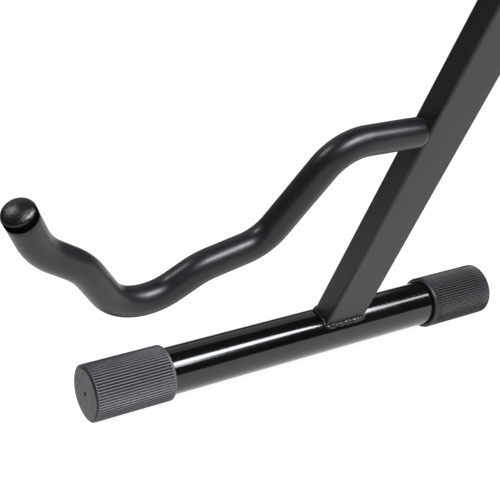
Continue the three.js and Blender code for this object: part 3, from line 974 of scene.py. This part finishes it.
THREAD_PITCH = 1 * MM
THREAD_DEPTH = 0.45 * MM
THREAD_STEP = 0.12 * MM
BOLT_SIDES = 48
NUT_SIDES = 96
NUT_COLLAR_HEIGHT = 1.8 * MM
FIRST_SPIN = radians(17)
NEXT_SPIN = radians(23)


def thread(start):
    """The shape of a helical thread on a bolt's shank, from a place along it."""
    def shape(angle, radius, along):
        if along < start or radius < BOLT_RADIUS * 0.9:
            return radius
        wave = abs(((along / THREAD_PITCH - angle / (2 * pi)) % 1) * 2 - 1)
        return radius - THREAD_DEPTH * wave
    return shape


def bolt():
    """Button head with a socket, plain shank, and a thread past the nut's seat."""
    seat = -plate_outside - GAP
    end = nut_seat + NUT_HEIGHT + BOLT_END
    crown = seat - BOLT_HEAD_HEIGHT
    socket = 1.9 * MM
    socket_floor = crown + 2 * MM
    flat = BOLT_HEAD_RADIUS * 0.62
    head = rounded([
        (0.3 * MM, socket_floor, 0),
        (socket, socket_floor, 0),
        (socket, crown, 0.1 * MM),
        (flat, crown, 1.2 * MM),
        (BOLT_HEAD_RADIUS, seat - BOLT_HEAD_HEIGHT / 3, 1 * MM),
        (BOLT_HEAD_RADIUS, seat, 0.2 * MM),
        (BOLT_RADIUS, seat, 0),
        (BOLT_RADIUS, nut_seat, 0),
    ])
    threaded = [Vector((BOLT_RADIUS, y)) for y in evenly(nut_seat, end - 0.3 * MM, THREAD_STEP)[1:]]
    tip = [Vector((BOLT_RADIUS - 0.6 * MM, end)), Vector((0.4 * MM, end))]
    return turned_rings(head + threaded + tip, BOLT_SIDES, thread(nut_seat + THREAD_PITCH / 2))


def hexagon(angle, radius, _along):
    """A hexagon's radius at this angle, cut back where the turned profile is smaller."""
    flat = NUT_RADIUS * cos(pi / 6)
    sector = (angle + pi / 6) % (pi / 3) - pi / 6
    return min(radius, flat / cos(sector))


def lock_nut():
    """A hexagon with chamfered corners and a round collar that holds a nylon ring."""
    bore = BOLT_RADIUS - 0.15 * MM
    hex_top = nut_seat + NUT_HEIGHT - NUT_COLLAR_HEIGHT
    top = nut_seat + NUT_HEIGHT
    chamfer = NUT_RADIUS * 0.87
    chamfer_height = 0.7 * MM
    collar = NUT_RADIUS * 0.80
    profile = [
        (bore, nut_seat),
        (chamfer, nut_seat),
        (NUT_RADIUS, nut_seat + chamfer_height),
        *[(NUT_RADIUS, y) for y in evenly(nut_seat + 1 * MM, hex_top - 0.9 * MM, 1 * MM)],
        (NUT_RADIUS, hex_top - chamfer_height),
        (chamfer, hex_top),
        (collar, hex_top),
        (collar, top - 0.5 * MM),
        (collar - 0.5 * MM, top),
        (collar - 0.9 * MM, top),
        (collar - 1 * MM, top - 0.3 * MM),
        (bore, top - 0.3 * MM),
    ]
    return turned_rings([Vector(p) for p in profile], NUT_SIDES, hexagon)


def build_head():
    def add(name, node, rings, place, material, slot, **options):
        piece = add_mesh(name, rings, head_frame @ place, material, **options)
        return finish_piece(piece, "head", node)

    here = Matrix.Identity(4)
    add("front_plate", "head_plate_front", head_plate(-plate_outside, -plate_inside), here,
        POWDER_COAT, "powder_coat")
    add("rear_plate", "head_plate_rear", head_plate(plate_inside, plate_outside), here,
        POWDER_COAT, "powder_coat")
    pad = add("guitar_back_pad", "back_pad", back_pad(), here, PAD_RUBBER, "pad_foam", sharp=pi)
    reach = plate_inside - GAP
    spacer = ring_piece(BOLT_RADIUS + GAP, STOP_RADIUS, -reach, reach, 0.4 * MM)
    at_stop = Matrix.Translation((0, 0, stop_height))
    add("leg_stop_spacer", "stop_spacer", spacer, at_stop, BARE_STEEL, "bare_steel", loop=True)

    washer_from = plate_outside + GAP
    washer = ring_piece(
        BOLT_RADIUS + GAP, NUT_WASHER_RADIUS, washer_from, washer_from + NUT_WASHER_THICKNESS, 0.2 * MM
    )
    bolts = {
        "left": ("pivot_bolt_left", "pivot_nut_left", Matrix.Translation((-pivot_offset, 0, 0))),
        "right": ("pivot_bolt_right", "pivot_nut_right", Matrix.Translation((pivot_offset, 0, 0))),
        "stop": ("bolt_stop", "nut_stop", at_stop),
    }
    for turn, (side, (bolt_node, nut_node, place)) in enumerate(bolts.items()):
        spin = Matrix.Rotation(FIRST_SPIN + NEXT_SPIN * turn, 4, "Y")
        add(f"{side}_bolt", bolt_node, bolt(), place @ spin, BLACK_STEEL, "black_steel")
        add(f"{side}_lock_nut", nut_node, lock_nut(), place @ spin, BLACK_STEEL, "black_steel",
            loop=True)
        add(f"{side}_nut_washer", f"nut_washer_{side}", washer, place, BLACK_STEEL, "black_steel",
            loop=True)
    near = LEG_DEPTH / 2 + WASHER_PLAY
    far = near + THRUST_WASHER_THICKNESS
    for side in ("left", "right"):
        place = bolts[side][2]
        for face, (start, end) in {"front": (-far, -near), "rear": (near, far)}.items():
            rings = ring_piece(BOLT_RADIUS + GAP, THRUST_WASHER_RADIUS, start, end, 0.15 * MM)
            add(f"{side}_{face}_thrust_washer", f"thrust_washer_{face}_{side}", rings, place,
                NYLON, "nylon", loop=True)


build_head()

# ---------------------------------------------------------------- floor

FLOOR_SIZE = 8.0
FLOOR_DROP = 0.2 * MM
FLOOR_GREY = 0.12
FLOOR_COLOUR = (0.975, 0.985, 1.0)
FLOOR_GLOW_FRONT = 0.12
FLOOR_GLOW_REST = 0.98
FLOOR_GLOW_REACH = (-0.60, -0.23)
FLOOR_GLOW_TURN = radians(-22.8)


def build_floor():
    """Paper that glows, and less so far in front of the stand. The glow rises along a turned Y."""
    paper = Shader("pale_floor", Specular_IOR_Level=0.1, Emission_Color=(*FLOOR_COLOUR, 1))
    shade = paper.noise(6, 3)
    paper.set("Base Color", paper.ramp(shade, (0.3, FLOOR_GREY), (0.7, FLOOR_GREY * 1.03)))
    paper.principled.inputs["Roughness"].default_value = 0.8
    turned = paper.nodes.new("ShaderNodeMapping")
    turned.vector_type = "TEXTURE"
    turned.inputs["Rotation"].default_value = (0, 0, FLOOR_GLOW_TURN)
    paper.links.new(paper.place, turned.inputs["Vector"])
    split = paper.nodes.new("ShaderNodeSeparateXYZ")
    paper.links.new(turned.outputs["Vector"], split.inputs["Vector"])
    glow = paper.range(split.outputs["Y"], FLOOR_GLOW_FRONT, FLOOR_GLOW_REST, *FLOOR_GLOW_REACH)
    paper.set("Emission Strength", glow)
    half = FLOOR_SIZE / 2
    mesh = bpy.data.meshes.new("floor")
    corners = [(-half, -half, 0), (half, -half, 0), (half, half, 0), (-half, half, 0)]
    mesh.from_pydata(corners, [], [(0, 1, 2, 3)])
    mesh.materials.append(paper.material)
    floor = bpy.data.objects.new("floor", mesh)
    bpy.context.scene.collection.objects.link(floor)
    floor.location.z = -FLOOR_DROP


build_floor()

# ---------------------------------------------------------------- camera and lights

# The camera looks at the left half from the inside, low and in front. Its place is from the
# floor below the left foot's front end: inwards, forwards and up, in the foot's own frame.
CAMERA_PLACE = Vector((450.14 * MM, -193.21 * MM, 263.16 * MM))
CAMERA_YAW = radians(57.10)
CAMERA_PITCH = radians(-19.59)
SENSOR = 36.0
LENS = 77.65
NEAREST = 0.01

# Soft panels: middle (from the same point as the camera's place), size, turn about the vertical,
# what they face (None is straight down), and radiance
PANELS = {
    "key_softbox": ((0.61, 0.73, 0.9), (0.47, 0.42), radians(17), None, 20),
    "key_spill": ((1.06, 0.62, 0.9), (0.42, 0.25), radians(17), None, 14),
    "key_end": ((0.52, 1.01, 0.9), (0.22, 0.16), radians(17), None, 10),
    "top_softbox": ((0.76, 0.17, 0.96), (0.80, 0.28), 0, (0.04, 0.05, 0.08), 34),
    "outer_softbox": ((-0.85, 0.30, 0.85), (1.5, 1.0), 0, (0, 0.2, 0.05), 0.4),
    "front_fill": ((-0.35, -0.58, 1.0), (0.22, 0.22), 0, (0.06, -0.05, 0.13), 26),
}
PANEL_COLOUR = (0.93, 0.96, 1.0)
WORLD_STRENGTH = 0.03

below_front = foot_frame @ Matrix.Translation((0, -FOOT_FRONT, -foot_place.z))


def build_camera():
    data = bpy.data.cameras.new("camera")
    data.lens = LENS
    data.sensor_width = SENSOR
    data.clip_start = NEAREST
    camera = bpy.data.objects.new("camera", data)
    bpy.context.scene.collection.objects.link(camera)
    look = Matrix.Rotation(CAMERA_YAW, 4, "Z") @ Matrix.Rotation(pi / 2 + CAMERA_PITCH, 4, "X")
    camera.matrix_world = below_front @ Matrix.Translation(CAMERA_PLACE) @ look
    bpy.context.scene.camera = camera


def add_panel(name, middle, size, turn, faces, radiance):
    data = bpy.data.lights.new(name, "AREA")
    data.shape = "RECTANGLE"
    data.size, data.size_y = size
    data.energy = radiance * size[0] * size[1] * pi
    data.color = PANEL_COLOUR
    light = bpy.data.objects.new(name, data)
    bpy.context.scene.collection.objects.link(light)
    aim = Matrix.Rotation(turn, 4, "Z")
    if faces:
        aim = (Vector(faces) - Vector(middle)).to_track_quat("-Z", "Y").to_matrix().to_4x4()
    light.matrix_world = below_front @ Matrix.Translation(middle) @ aim


def build_lights():
    world = bpy.data.worlds.new("studio")
    world.use_nodes = True
    dim = world.node_tree.nodes["Background"]
    dim.inputs["Color"].default_value = (1, 1, 1, 1)
    dim.inputs["Strength"].default_value = WORLD_STRENGTH
    bpy.context.scene.world = world
    for name, panel in PANELS.items():
        add_panel(name, *panel)


build_camera()
build_lights()
bpy.context.scene.view_settings.view_transform = "Standard"
